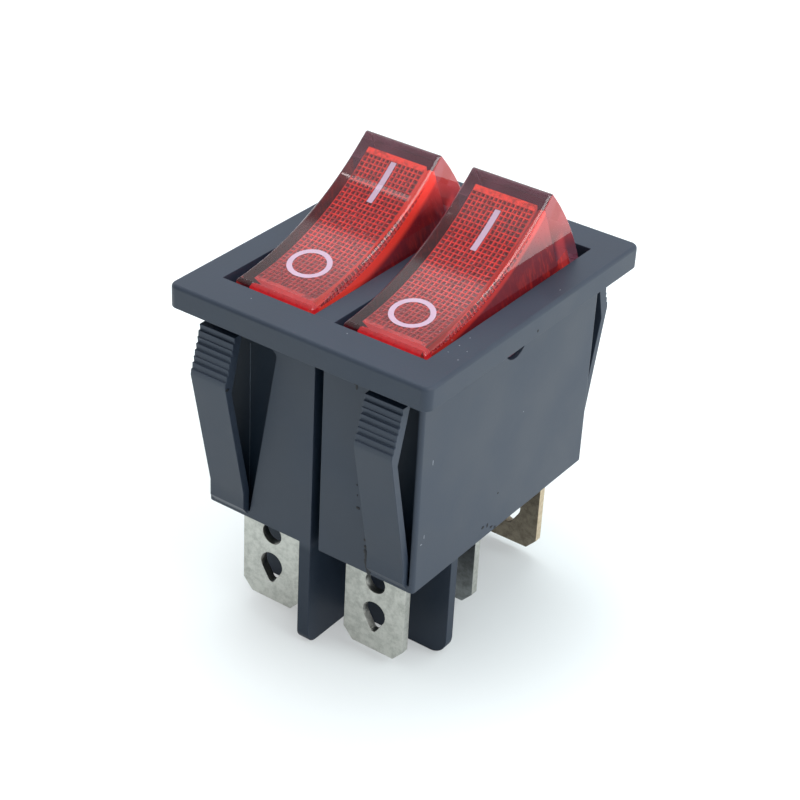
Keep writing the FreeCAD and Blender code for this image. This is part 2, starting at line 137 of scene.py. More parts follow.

# Where the camera sees it, also in gloss and through glass, the table glows by itself. The glow
# is weaker around the foot of the switch, a painted shadow a little right of and behind it.
painted_shadow_middle = (0.005, 0.003, 0)
painted_shadow_core, painted_shadow_edge, painted_shadow_end = 0.005, 0.026, 0.060
white, white_tree, white_shader = new_material("white_table")
set_inputs(white_shader, {"Base Color": (0.50, 0.56, 0.57, 1), "Roughness": 0.8,
                          "Emission Color": (1, 1, 1, 1)})
painted_shadow_spot = white_tree.nodes.new("ShaderNodeVectorMath")
painted_shadow_spot.operation = "DISTANCE"
painted_shadow_spot.inputs[1].default_value = painted_shadow_middle
white_tree.links.new(object_place(white_tree), painted_shadow_spot.inputs[0])
from_painted_shadow = painted_shadow_spot.outputs["Value"]
seen = white_tree.nodes.new("ShaderNodeLightPath")
watched = calculate(white_tree, "MAXIMUM", seen.outputs["Is Camera Ray"],
                    calculate(white_tree, "MAXIMUM", seen.outputs["Is Glossy Ray"],
                              seen.outputs["Is Transmission Ray"]))
table_glow_and_painted_shadow = calculate(white_tree, "ADD",
                       ramp_in(white_tree, from_painted_shadow, painted_shadow_core, painted_shadow_edge, 0.27, 0.50),
                       ramp_in(white_tree, from_painted_shadow, painted_shadow_edge, painted_shadow_end, 0.0, 0.08))
white_tree.links.new(calculate(white_tree, "MULTIPLY", watched, table_glow_and_painted_shadow),
                     white_shader.inputs["Emission Strength"])
floor.data.materials.append(white)

# Above, one bright panel in front of the switch and one behind it; lower down, a sky that grows
# lighter to the back and to the right.
world = bpy.data.worlds.new("soft_room")
scene.world = world
world.use_nodes = True
room = world.node_tree
toward = room.nodes.new("ShaderNodeSeparateXYZ")
room.links.new(room.nodes.new("ShaderNodeTexCoord").outputs["Generated"], toward.inputs[0])
to_right, to_back, to_top = toward.outputs
raised = ramp_in(room, to_top, 0.45, 0.62)
front_panel = calculate(room, "SUBTRACT", ramp_in(room, to_back, -0.02, -0.16, 0.50, 1.10),
                        ramp_in(room, to_back, -0.20, -0.40, 0.0, 0.45))
back_panel = calculate(room, "MULTIPLY", ramp_in(room, to_back, 0.15, 0.23, 0.0, 1.15),
                       ramp_in(room, to_back, 0.25, 0.62, 1.0, 0.30))
ceiling = calculate(room, "ADD", front_panel, back_panel)
low_sky = calculate(room, "ADD", ramp_in(room, to_back, -0.9, 0.1, 0.42, 0.90),
                    ramp_in(room, to_right, 0.0, 0.9, 0.0, 0.35))
gap = calculate(room, "SUBTRACT", ceiling, low_sky)
sky = calculate(room, "ADD", low_sky, calculate(room, "MULTIPLY", gap, raised))
room.links.new(sky, room.nodes["Background"].inputs["Strength"])
room.nodes["Background"].inputs["Color"].default_value = (0.96, 0.98, 1.0, 1)

lamp_aim = Vector((0, 0, -0.005))


def soft_lamp(name, place, size, power, mirrored):
    """A soft box at the place, in metres, turned to the switch; mirrored shows it in gloss."""
    bpy.ops.object.light_add(type="AREA", location=place)
    lamp = bpy.context.object
    lamp.name = name
    lamp.data.shape = "RECTANGLE"
    lamp.data.size, lamp.data.size_y = size
    lamp.data.energy = power
    lamp.visible_glossy = mirrored
    lamp.rotation_euler = (lamp_aim - Vector(place)).to_track_quat("-Z", "Y").to_euler()


soft_lamp("window_right", (0.55, 0.05, 0.42), (0.40, 0.40), 2.0, True)
soft_lamp("overhead", (-0.15, 0.25, 0.75), (0.55, 0.55), 3.0, False)
soft_lamp("narrow_tube", (-0.284, -0.052, 0.422), (0.005, 0.020), 0.0022, True)
soft_lamp("narrow_tube_fading", (-0.2617, -0.048, 0.4376), (0.014, 0.034), 0.0026, True)


# Tools of the bench, for a moulding or stamping that is taken over from the measured model: its
# facets are joined, its flat faces made whole, its edges rounded and its curves shaded smooth.
weld_distance = 0.003
flat_angle, sharp_angle, smooth_angle = (math.radians(a) for a in (0.4, 28, 50))


def select_only(*objects):
    bpy.ops.object.select_all(action="DESELECT")
    for item in objects:
        item.select_set(True)
    bpy.context.view_layer.objects.active = objects[0]


def taken_over(node, name):
    """A joined copy of a measured piece, which stands for it and moves with its body."""
    source = nodes[node]
    piece = bpy.data.objects.new(name, source.data.copy())
    scene.collection.objects.link(piece)
    piece.data.materials.clear()
    select_only(piece)
    bpy.ops.mesh.customdata_custom_splitnormals_clear()
    bpy.ops.object.mode_set(mode="EDIT")
    bpy.ops.mesh.select_all(action="SELECT")
    bpy.ops.mesh.remove_doubles(threshold=weld_distance * MM)
    bpy.ops.mesh.dissolve_limited(angle_limit=flat_angle)
    bpy.ops.object.mode_set(mode="OBJECT")
    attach(piece, source["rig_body"])
    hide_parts(node)
    return piece


def round_edges(piece, width, steps):
    """Rounds the sharp edges of a piece, by a width in mm, and shades the rest smooth."""
    select_only(piece)
    rounding = piece.modifiers.new("rounding", "BEVEL")
    rounding.width = width * MM
    rounding.segments = steps
    rounding.limit_method = "ANGLE"
    rounding.angle_limit = sharp_angle
    rounding.miter_outer = "MITER_ARC"
    bpy.ops.object.modifier_apply(modifier=rounding.name)
    bpy.ops.object.shade_smooth_by_angle(angle=smooth_angle)
    levelling = piece.modifiers.new("levelling", "WEIGHTED_NORMAL")
    levelling.weight = 100
    levelling.keep_sharp = True
    bpy.ops.object.modifier_apply(modifier=levelling.name)


# Housing: one black nylon moulding with a satin skin, which holds everything else. Shade is painted
# into its nooks and low down, darker painted shade onto the floors of its pockets, and painted
# light into the slot in its front; the valleys of its ridged wings are a little uneven.
def new_group(name, takes, gives):
    """A shader node group with its sockets, as {name: (kind, value)} and {name: kind}."""
    group = bpy.data.node_groups.new(name, "ShaderNodeTree")
    for socket, (kind, value) in takes.items():
        made = group.interface.new_socket(socket, in_out="INPUT", socket_type=kind)
        made.default_value = value
    for socket, kind in gives.items():
        group.interface.new_socket(socket, in_out="OUTPUT", socket_type=kind)
    return group, group.nodes.new("NodeGroupInput"), group.nodes.new("NodeGroupOutput")


def noise_in(tree, coordinates, scale, detail=3.0, roughness=0.5):
    """A noise node at a place outlet."""
    made = tree.nodes.new("ShaderNodeTexNoise")
    set_inputs(made, {"Scale": scale, "Detail": detail, "Roughness": roughness})
    tree.links.new(coordinates, made.inputs["Vector"])
    return made


grain_group, grain_in, grain_out = new_group(
    "moulded_skin",
    {"Grain Scale": ("NodeSocketFloat", 5000.0), "Flow Scale": ("NodeSocketFloat", 160.0)},
    {"Grain": "NodeSocketFloat", "Flow": "NodeSocketFloat"})
skin_place = object_place(grain_group)
for outlet, scale, detail in (("Grain", 5000.0, 2.0), ("Flow", 160.0, 4.0)):
    noise = noise_in(grain_group, skin_place, scale, detail)
    grain_group.links.new(grain_in.outputs[f"{outlet} Scale"], noise.inputs["Scale"])
    grain_group.links.new(noise.outputs["Fac"], grain_out.inputs[outlet])


def mix_colours(tree, factor, first, second):
    """A colour mix by a factor socket; each colour is a socket or four numbers."""
    made = tree.nodes.new("ShaderNodeMix")
    made.data_type = "RGBA"
    tree.links.new(factor, made.inputs["Factor"])
    for name, colour in (("A", first), ("B", second)):
        socket = [s for s in made.inputs if s.name == name and s.type == "RGBA"][0]
        if isinstance(colour, tuple):
            socket.default_value = colour
        else:
            tree.links.new(colour, socket)
    return [s for s in made.outputs if s.type == "RGBA"][0]


def moulded_skin(tree):
    """The outlets for the fine grain and the wide flow marks of a moulded surface."""
    made = tree.nodes.new("ShaderNodeGroup")
    made.node_tree = grain_group
    return made.outputs["Grain"], made.outputs["Flow"]


def add_bump(tree, shader, height, strength, distance):
    """Roughens a surface by a height outlet; the distance is in metres."""
    bump = tree.nodes.new("ShaderNodeBump")
    set_inputs(bump, {"Strength": strength, "Distance": distance})
    tree.links.new(height, bump.inputs["Height"])
    tree.links.new(bump.outputs["Normal"], shader.inputs["Normal"])


def simple_material(name, values):
    """A material with nothing but these inputs of its shader set."""
    material, _, shader = new_material(name)
    set_inputs(shader, values)
    return material


# Painted shade: the nylon darkens and shines less in nooks within this reach, and below these
# heights, in metres.
painted_shade_reach = 0.0022
painted_shade_below, painted_shade_above = -0.0204, -0.0194
nylon, nylon_tree, nylon_shader = new_material("black_nylon")
nylon_grain, nylon_flow = moulded_skin(nylon_tree)
tone = mix_colours(nylon_tree, ramp_in(nylon_tree, nylon_flow, 0.35, 0.65),
                   (0.0265, 0.0385, 0.060, 1), (0.0335, 0.0470, 0.071, 1))
painted_nook_shade = nylon_tree.nodes.new("ShaderNodeAmbientOcclusion")
painted_nook_shade.samples = 8
painted_nook_shade.inputs["Distance"].default_value = painted_shade_reach
nylon_height = nylon_tree.nodes.new("ShaderNodeSeparateXYZ")
nylon_tree.links.new(object_place(nylon_tree), nylon_height.inputs[0])
free_of_painted_shade = calculate(nylon_tree, "MULTIPLY", ramp_in(nylon_tree, painted_nook_shade.outputs["AO"], 0.10, 0.75),
                     ramp_in(nylon_tree, nylon_height.outputs["Z"], painted_shade_below, painted_shade_above,
                             0.35, 1.0))
nylon_tree.links.new(mix_colours(nylon_tree, free_of_painted_shade, (0.011, 0.021, 0.038, 1), tone),
                     nylon_shader.inputs["Base Color"])
nylon_tree.links.new(ramp_in(nylon_tree, free_of_painted_shade, 0.0, 1.0, 0.20, 0.40, "LINEAR"),
                     nylon_shader.inputs["Specular IOR Level"])
nylon_tree.links.new(ramp_in(nylon_tree, nylon_flow, 0.3, 0.7, 0.40, 0.52),
                     nylon_shader.inputs["Roughness"])
add_bump(nylon_tree, nylon_shader, nylon_grain, 0.25, 0.00002)

# Painted shade: a darker copy of the nylon for the floors of the pockets beside the wings.
shaded, shaded_tree, shaded_shader = new_material("nylon_painted_shade_in_pockets")
_, shaded_flow = moulded_skin(shaded_tree)
shaded_tree.links.new(mix_colours(shaded_tree, ramp_in(shaded_tree, shaded_flow, 0.3, 0.7),
                                  (0.006, 0.014, 0.027, 1), (0.009, 0.019, 0.033, 1)),
                      shaded_shader.inputs["Base Color"])
set_inputs(shaded_shader, {"Roughness": 0.5, "Specular IOR Level": 0.22})
# Painted light: a lighter copy of the nylon for the sides and bottom of the slot in the front wall.
slot_painted_light = simple_material("nylon_painted_light_in_slot", {"Base Color": (0.085, 0.120, 0.160, 1),
                                            "Roughness": 0.5})


def choose(piece, wanted):
    """In edit mode, selects just the faces that pass a test."""
    mesh = bmesh.from_edit_mesh(piece.data)
    for face in mesh.faces:
        face.select_set(wanted(face))
    bmesh.update_edit_mesh(piece.data)


def paint(piece, index, wanted):
    """In edit mode, gives the faces that pass a test the piece's material at the index."""
    choose(piece, wanted)
    piece.active_material_index = index
    bpy.ops.object.material_slot_assign()


def within(value, limits):
    """Whether a value is between two limits."""
    return limits[0] < value < limits[1]


# Where the floors of the pockets and the sides of the slot are, in mm.
pocket_floor, pocket_heights, pocket_start = (11.9, 12.3), (-19.5, -2), 2
slot_across, slot_depth, slot_heights, wall_skin = (0.2, 1.2), (-13.25, -10.5), (-19.6, -0.5), -13.0


def on_pocket_floor(face):
    """Whether a face is the floor of a pocket beside a wing."""
    x, y, z = face.calc_center_median() / MM
    return (abs(face.normal.y) > 0.9 and within(abs(y), pocket_floor)
            and within(z, pocket_heights) and abs(x) > pocket_start)


def in_front_slot(face):
    """Whether a face is a side or the bottom of the slot in the front wall."""
    x, y, z = face.calc_center_median() / MM
    return (within(x, slot_across) and within(y, slot_depth) and within(z, slot_heights)
            and (abs(face.normal.x) > 0.9 or wall_skin < y))


# The wings' ridges: how far out and how far down they begin, the step and the lean from one to
# the next, and how far each valley between them is filled, in mm.
ridge_base, ridge_knee, ridge_rise, ridge_lean = 16.25, 5.3, 0.5375, 0.15625
valley_fills = (0.10, 0.03, 0.11, 0.05, 0.01, 0.12, 0.04, 0.08)
valley_depths, height_slack = (-0.2, -0.1), 0.02

housing = taken_over("housing", "housing_moulding")
for finish in (nylon, shaded, slot_painted_light):
    housing.data.materials.append(finish)
select_only(housing)
bpy.ops.object.mode_set(mode="EDIT")
bpy.ops.mesh.select_mode(type="FACE")
paint(housing, 1, on_pocket_floor)
paint(housing, 2, in_front_slot)
bpy.ops.mesh.select_mode(type="VERT")
for step, fill in enumerate(valley_fills, 1):
    for wall in (-1, 1):
        mesh = bmesh.from_edit_mesh(housing.data)
        for vertex in mesh.verts:
            height = vertex.co.z / MM + ridge_knee - ridge_rise * step
            reach = vertex.co.y * wall / MM - (ridge_base - ridge_lean * step)
            vertex.select_set(abs(height) < height_slack and within(reach, valley_depths))
        bmesh.update_edit_mesh(housing.data)
        bpy.ops.transform.translate(value=(0, wall * fill * MM, 0))
bpy.ops.object.mode_set(mode="OBJECT")
round_edges(housing, 0.08, 3)


# Moulding flash, dust and scratches on the housing: dark ragged crumbs where the mould's halves
# met, a pale thread of flash down the left pocket, and pale specks on the bezel and the side.
def colour_only(name, colour, roughness):
    """A finish that the moulded grain darkens here and there."""
    material, tree, shader = new_material(name)
    grain, _ = moulded_skin(tree)
    darker = tuple(c * 0.7 for c in colour[:3]) + (1,)
    tree.links.new(mix_colours(tree, ramp_in(tree, grain, 0.3, 0.7), colour, darker),
                   shader.inputs["Base Color"])
    shader.inputs["Roughness"].default_value = roughness
    return material


def crumbs(name, material, places):
    """Ragged flat crumbs at (x, y, z, half sizes along x, y and z), all in mm, as one piece."""
    made = []
    for number, (x, y, z, wide, deep, tall) in enumerate(places):
        bpy.ops.mesh.primitive_ico_sphere_add(subdivisions=2, radius=MM, location=(0, 0, 0))
        crumb = bpy.context.object
        bpy.ops.object.mode_set(mode="EDIT")
        bpy.ops.mesh.select_all(action="SELECT")
        bpy.ops.transform.vertex_random(offset=0.25 * MM, seed=number)
        bpy.ops.object.mode_set(mode="OBJECT")
        crumb.data.transform(Matrix.Diagonal((wide, deep, tall, 1)))
        crumb.data.transform(Matrix.Translation((x * MM, y * MM, z * MM)))
        crumb.data.materials.append(material)
        made.append(crumb)
    select_only(*made)
    bpy.ops.object.join()
    made[0].name = name
    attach(made[0], "housing")


flash = colour_only("dark_flash", (0.006, 0.009, 0.014, 1), 0.6)
dust = colour_only("pale_dust", (0.34, 0.37, 0.42, 1), 0.8)
front, wall_right, top = -13.2, 10.9, 2.1
crumbs("moulding_flash", flash, [
    (4.87, front, -11.30, 0.07, 0.05, 0.09), (4.95, front, -12.30, 0.05, 0.04, 0.10),
    (5.07, front, -13.50, 0.20, 0.08, 0.14), (5.91, front, -16.35, 0.17, 0.06, 0.15),
    (5.97, front, -17.00, 0.18, 0.06, 0.18), (5.98, front, -17.45, 0.17, 0.06, 0.25),
    (6.08, front, -17.95, 0.16, 0.06, 0.34), (6.06, front, -18.45, 0.17, 0.06, 0.32),
    (6.22, front, -18.90, 0.20, 0.06, 0.34), (6.40, front, -19.30, 0.22, 0.10, 0.36),
    (4.46, front, -2.10, 0.13, 0.04, 0.30), (4.25, front, -1.90, 0.12, 0.04, 0.10),
    (-6.55, -15.95, -5.50, 0.06, 0.26, 0.16), (13.0, -0.37, 0.54, 0.03, 0.13, 0.12),
    (wall_right, -0.94, -15.93, 0.03, 0.12, 0.10), (wall_right, -2.95, -18.45, 0.05, 0.22, 0.16),
    (wall_right, -2.25, -18.60, 0.05, 0.12, 0.22), (wall_right, -1.60, -19.10, 0.05, 0.24, 0.12),
    (wall_right, -1.00, -19.45, 0.05, 0.20, 0.18)])
crumbs("dust_and_scratches", dust, [
    (8.80, -8.34, top, 0.05, 0.06, 0.02), (9.97, -8.37, top, 0.05, 0.04, 0.02),
    (10.9, -8.70, top, 0.05, 0.05, 0.02), (11.9, -9.10, top, 0.07, 0.03, 0.02),
    (12.07, -10.6, top, 0.07, 0.05, 0.02), (10.87, -7.19, top, 0.04, 0.06, 0.02),
    (10.79, -10.1, top, 0.05, 0.05, 0.02), (12.1, 4.16, top, 0.05, 0.09, 0.02),
    (3.1, -12.9, top, 0.06, 0.05, 0.02), (-6.2, -13.4, top, 0.05, 0.05, 0.02),
    (wall_right, -11.38, -7.52, 0.015, 0.05, 0.28), (wall_right, -12.0, -14.41, 0.015, 0.05, 0.20),
    (wall_right, -12.37, -15.0, 0.015, 0.14, 0.05), (wall_right, 2.1, -9.2, 0.015, 0.06, 0.05)])

thread_radius, thread_length, thread_middle = 0.05, 16.2, (-7.24, -12.13, -11.1)
bpy.ops.mesh.primitive_cylinder_add(vertices=8, radius=thread_radius * MM, depth=MM,
                                    location=(0, 0, 0))
thread = bpy.context.object
thread.name = "pocket_flash_thread"
bpy.ops.object.mode_set(mode="EDIT")
mesh = bmesh.from_edit_mesh(thread.data)
for vertex in mesh.verts:
    vertex.select_set(vertex.co.z < 0)
mesh.select_flush_mode()
bmesh.update_edit_mesh(thread.data)
bpy.ops.transform.resize(value=(0.4, 0.4, 1), center_override=(0, 0, 0))
bpy.ops.object.mode_set(mode="OBJECT")
thread.data.transform(Matrix.Diagonal((1, 1, thread_length, 1)))
thread.data.transform(Matrix.Translation([c * MM for c in thread_middle]))
thread.data.materials.append(colour_only("pale_flash", (0.10, 0.13, 0.17, 1), 0.4))
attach(thread, "housing")


# Lenses: clear, faintly smoky polycarbonate hoods with polished faces, each on two trunnions that
# snap into the housing. Their flanks have a painted red glow towards the raised ends.
# Each rocker's place across the housing, its tilt at rest and how far its pivot is sunk, in mm.
tilt = math.radians(23.2)
pivot_drop = 1.35
rocker_places = {"left": -5.25, "right": 5.8}
level_y = Vector((0, math.cos(tilt), math.sin(tilt)))
level_z = Vector((0, -math.sin(tilt), math.cos(tilt)))


def pivot_of(side, across=0.0):
    """The pivot of a rocker, or a place that far across from it, in metres."""
    return Vector((rocker_places[side] * MM + across, 0, -pivot_drop * MM))


def level(point, side):
    """A place on a rocker, in mm from its pivot, as if the rocker stood level."""
    out = point - pivot_of(side)
    return Vector((out.x, out.dot(level_y), out.dot(level_z))) / MM


def levelled(face, side):
    """Which way a face of a rocker looks and where its middle is, as if the rocker stood level."""
    facing = Vector((face.normal.x, face.normal.dot(level_y), face.normal.dot(level_z)))
    return facing, level(face.calc_center_median(), side)


place_group, _, place_out = new_group("rocker_place", {}, {"Along": "NodeSocketFloat",
                                                           "Up": "NodeSocketFloat"})
own_place = object_place(place_group)
for socket, axis in (("Along", level_y), ("Up", level_z)):
    measured = place_group.nodes.new("ShaderNodeVectorMath")
    measured.operation = "DOT_PRODUCT"
    measured.inputs[1].default_value = axis / MM
    place_group.links.new(own_place, measured.inputs[0])
    place_group.links.new(calculate(place_group, "ADD", measured.outputs["Value"],
                                    axis.z * pivot_drop), place_out.inputs[socket])


def placed_on_rocker(tree):
    """The outlets for how far along the rocker and how far up from its pivot a place is, in mm."""
    made = tree.nodes.new("ShaderNodeGroup")
    made.node_tree = place_group
    return made.outputs["Along"], made.outputs["Up"]


lens_ior = 1.58


def clear_plastic(name):
    """Clear polycarbonate; the light for what stands behind it passes as through a window."""
    material, tree, shader = new_material(name)
    set_inputs(shader, {"Base Color": (0.92, 0.80, 0.86, 1), "Roughness": 0.03, "IOR": lens_ior,
                        "Transmission Weight": 1.0})
    window = tree.nodes.new("ShaderNodeBsdfTransparent")
    window.inputs["Color"].default_value = (0.93, 0.90, 0.91, 1)
    either = tree.nodes.new("ShaderNodeMixShader")
    ray = tree.nodes.new("ShaderNodeLightPath")
    tree.links.new(calculate(tree, "MAXIMUM", ray.outputs["Is Shadow Ray"],
                             ray.outputs["Is Diffuse Ray"]), either.inputs["Fac"])
    tree.links.new(shader.outputs[0], either.inputs[1])
    tree.links.new(window.outputs[0], either.inputs[2])
    tree.links.new(either.outputs[0], tree.nodes["Material Output"].inputs["Surface"])
    return material, tree, shader


clear, _, _ = clear_plastic("clear_lens")

# The flanks have a painted red glow towards the raised end, with a brighter painted highlight
# streak near the very end, on their outer side only. The glow sets in along a slanted line.
painted_glow_lean = 0.784
flank, flank_tree, flank_shader = clear_plastic("clear_lens_flank_painted_glow")
flank_along, flank_up = placed_on_rocker(flank_tree)
slanted = calculate(flank_tree, "ADD", flank_up,
                    calculate(flank_tree, "MULTIPLY", flank_along, painted_glow_lean))
painted_streak = calculate(flank_tree, "MULTIPLY", ramp_in(flank_tree, flank_along, 8.1, 8.7, 0.0, 0.22),
                   calculate(flank_tree, "MULTIPLY", ramp_in(flank_tree, flank_along, 9.9, 9.3),
                             ramp_in(flank_tree, flank_up, 3.6, 2.6)))
flank_painted_glow = calculate(flank_tree, "ADD", painted_streak,
                       ramp_in(flank_tree, slanted, 8.3, 12.5, 0.0, 0.40))
surface = flank_tree.nodes.new("ShaderNodeNewGeometry")
outer_side = calculate(flank_tree, "SUBTRACT", 1.0, surface.outputs["Backfacing"])
flank_shader.inputs["Emission Color"].default_value = (1.0, 0.075, 0.06, 1)
flank_tree.links.new(calculate(flank_tree, "MULTIPLY", flank_painted_glow, outer_side),
                     flank_shader.inputs["Emission Strength"])

wetted = simple_material("wetted_inside", {"Base Color": (1, 1, 1, 1), "Alpha": 0.0})
# Painted glow: the foot of each lens is a dark wine that gives off faint red light of its own.
foot = simple_material("smoky_foot_painted_glow", {
    "Base Color": (0.10, 0.035, 0.050, 1), "Emission Color": (0.055, 0.010, 0.022, 1),
    "Emission Strength": 1.0, "Roughness": 0.6})
# Painted red light: the upright face at the raised end is partly a diffuse wine red, as if lit by
# the core through the plastic.
smoky = simple_material("smoky_raised_end_painted_red", {
    "Base Color": (0.60, 0.22, 0.30, 1), "Roughness": 0.12, "IOR": lens_ior,
    "Transmission Weight": 0.7})

# Level places on a lens, in mm from its pivot: the planes at which its foot begins and ends, the
# inside of its walls, and a point in its hollow.
foot_start, foot_end = -1.25, -1.7
hollow_half_width, hollow_half_length, hollow_middle = 3.5, 10.3, Vector((0, 0, 3))
flank_places, raised_end_start = (3.6, 4.4), 9.0


def wetted_by_core(facing, middle):
    """The faces of the hollow, which look inwards, and the shoulders that they meet."""
    inward = hollow_middle - middle
    shoulder = facing.z < -0.9 and abs(middle.z) < 1
    return abs(middle.x) < hollow_half_width and (inward.dot(facing) > 0 or shoulder)


def in_foot(facing, middle):
    """The underside, and the inner faces below the start of the foot."""
    if facing.z < -0.9:
        return middle.z < foot_end
    return (abs(middle.x) < hollow_half_width and abs(middle.y) < hollow_half_length
            and middle.z < foot_start)


def on_raised_end(facing, middle):
    """The upright face at the raised end."""
    return facing.y > 0.8 and middle.y > raised_end_start and middle.z > foot_start


def on_flank(facing, middle):
    """The outer faces of the two side walls, above the foot."""
    return abs(facing.x) > 0.9 and within(abs(middle.x), flank_places) and middle.z > foot_start


for side in SIDES:
    lens = taken_over(f"{side}_lens", f"{side}_clear_lens")
    for finish in (clear, wetted, foot, smoky, flank):
        lens.data.materials.append(finish)
    select_only(lens)
    bpy.ops.object.mode_set(mode="EDIT")
    bpy.ops.mesh.select_mode(type="FACE")
    bpy.ops.mesh.select_all(action="SELECT")
    bpy.ops.mesh.bisect(plane_co=pivot_of(side) + level_z * foot_start * MM, plane_no=level_z)
    for index, fits in enumerate((wetted_by_core, in_foot, on_raised_end, on_flank), 1):
        paint(lens, index, lambda face: fits(*levelled(face, side)))
    bpy.ops.object.mode_set(mode="OBJECT")
    round_edges(lens, 0.12, 3)


# Cores: translucent red polycarbonate hoods inside the lenses. Rows of small sunk pyramids over
# the top spread the lamp's light, and the sides are finely ribbed. Their colours carry painted
# shade and light, and their edges and low ends a painted red glow.
def red_plastic(name, low, middle, raised_end, low_painted_glow, raised_painted_glow):
    """Red polycarbonate; its painted shade, light and glow change along the rocker."""
    material, tree, shader = new_material(name)
    along, _ = placed_on_rocker(tree)
    colour = mix_colours(tree, ramp_in(tree, along, -6.8, -1.2), low, middle)
    colour = mix_colours(tree, ramp_in(tree, along, 5.8, 8.0), colour, raised_end)
    mottle = noise_in(tree, object_place(tree), 2300, 2.0)
    colour = mix_colours(tree, ramp_in(tree, mottle.outputs["Fac"], 0.40, 0.72, 0.0, 0.6), colour,
                         (0.06, 0.003, 0.008, 1))
    tree.links.new(colour, shader.inputs["Base Color"])
    glow = mix_colours(tree, ramp_in(tree, along, -2.0, 2.0), low_painted_glow, raised_painted_glow)
    tree.links.new(glow, shader.inputs["Emission Color"])
    set_inputs(shader, {"Emission Strength": 1.0, "Roughness": 0.3})
    return material


black = (0, 0, 0, 1)
# Painted shade and light along the rocker: the top, its rim and the slopes of the sunk cells are
# darker at the low end and lighter at the raised end, the floors of the cells lighter at the low
# end. The rim has a faint painted glow, stronger towards the raised end; the end faces are light
# with a painted glow at the low end and painted dark at the raised end.
red = red_plastic("red_core", (0.46, 0.016, 0.014, 1), (0.84, 0.030, 0.018, 1),
                  (0.92, 0.050, 0.028, 1), black, black)
slope_red = red_plastic("red_core_slope_painted_shade", (0.30, 0.012, 0.014, 1), (0.36, 0.010, 0.014, 1),
                        (0.46, 0.016, 0.020, 1), black, black)
deep_red = red_plastic("red_core_deep_painted_shade", (0.21, 0.010, 0.014, 1), (0.12, 0.003, 0.008, 1),
                       (0.15, 0.006, 0.012, 1), black, black)
rim_red = red_plastic("red_core_rim_painted_glow", (0.46, 0.020, 0.018, 1), (0.80, 0.036, 0.022, 1),
                      (0.88, 0.050, 0.030, 1), (0.02, 0.001, 0.001, 1), (0.08, 0.004, 0.002, 1))
end_red = red_plastic("red_core_end_painted_glow", (0.60, 0.020, 0.020, 1), (0.30, 0.020, 0.030, 1),
                      (0.08, 0.020, 0.030, 1), (0.42, 0.012, 0.016, 1), (0.035, 0.005, 0.014, 1))

# The core's top is an arc that sags between its two ends. Its radius, and how high the centre of
# the arc stands over the pivot, in mm.
core_half_length, core_sag, core_height = 8.45, 1.6, 6.75
core_radius = (core_half_length * core_half_length + core_sag * core_sag) / (2 * core_sag)
core_centre = core_height - core_sag + core_radius


def ribbed_side(name, band, edge):
    """Ribbed core side: a band of painted light and glow under the top, painted shade below."""
    material, tree, shader = new_material(name)
    along, up = placed_on_rocker(tree)
    from_centre = tree.nodes.new("ShaderNodeCombineXYZ")
    tree.links.new(along, from_centre.inputs["X"])
    tree.links.new(calculate(tree, "SUBTRACT", up, core_centre), from_centre.inputs["Y"])
    reach = tree.nodes.new("ShaderNodeVectorMath")
    reach.operation = "LENGTH"
    tree.links.new(from_centre.outputs["Vector"], reach.inputs[0])
    rib_place = tree.nodes.new("ShaderNodeCombineXYZ")
    tree.links.new(calculate(tree, "MULTIPLY", along, 2.6), rib_place.inputs["X"])
    tree.links.new(calculate(tree, "MULTIPLY", up, 0.55), rib_place.inputs["Y"])
    ribs = noise_in(tree, rib_place.outputs["Vector"], 1.0, 3.0, 0.6)
    ribbed = calculate(tree, "MULTIPLY", ramp_in(tree, ribs.outputs["Fac"], 0.46, 0.66),
                       ramp_in(tree, up, 4.5, 0.5, 0.15, 1.0))
    wine = mix_colours(tree, ribbed, (0.19, 0.012, 0.020, 1), (0.46, 0.030, 0.022, 1))
    painted_light_band = ramp_in(tree, reach.outputs["Value"], core_radius + band, core_radius + 0.4 * band)
    tree.links.new(mix_colours(tree, painted_light_band, wine, edge), shader.inputs["Base Color"])
    tree.links.new(mix_colours(tree, painted_light_band, black, (0.06, 0.003, 0.001, 1)),
                   shader.inputs["Emission Color"])
    set_inputs(shader, {"Emission Strength": 1.0, "Roughness": 0.35})
    add_bump(tree, shader, ribs.outputs["Fac"], 0.5, 0.00006)
    return material


# The left core's sides get a wider, brighter band of painted light than the right core's.
side_reds = {"left": ribbed_side("red_core_side_left", 1.5, (0.90, 0.060, 0.040, 1)),
             "right": ribbed_side("red_core_side_right", 0.7, (0.52, 0.030, 0.024, 1))}
core_materials = (red, slope_red, deep_red, rim_red, end_red)
SLOPE, DEEP, RIM, END, SIDE = range(1, 6)

# The sunk grid: rows in each stretch between the facets of the top, columns across, and the rim
# that is left plain at the sides and at the low and raised ends, in mm.
rows_each, columns = 2, 14
rim_across, rim_low, rim_raised = 0.10, 0.35, 0.50
cell_wall, cell_slope, cell_depth = 0.045, 0.09, 0.13
side_start, end_height, top_height = 2.6, 2, 4.6
cell_edge_angle = math.radians(20)


def on_core_side(facing, middle):
    """The ribbed faces of the two side walls."""
    return abs(facing.x) > 0.9 and abs(middle.x) > side_start


def on_core_end(facing, middle):
    """The faces of the two ends, and the flat shoulders low on them."""
    return abs(facing.y) > 0.8 or (facing.z > 0.8 and middle.z < end_height)


def top_faces(mesh, side):
    """The faces of the core's curved top; they last as long as the mesh is held."""
    chosen = set()
    for face in mesh.faces:
        facing, middle = levelled(face, side)
        if facing.z > 0.8 and middle.z > top_height:
            chosen.add(face)
    return chosen


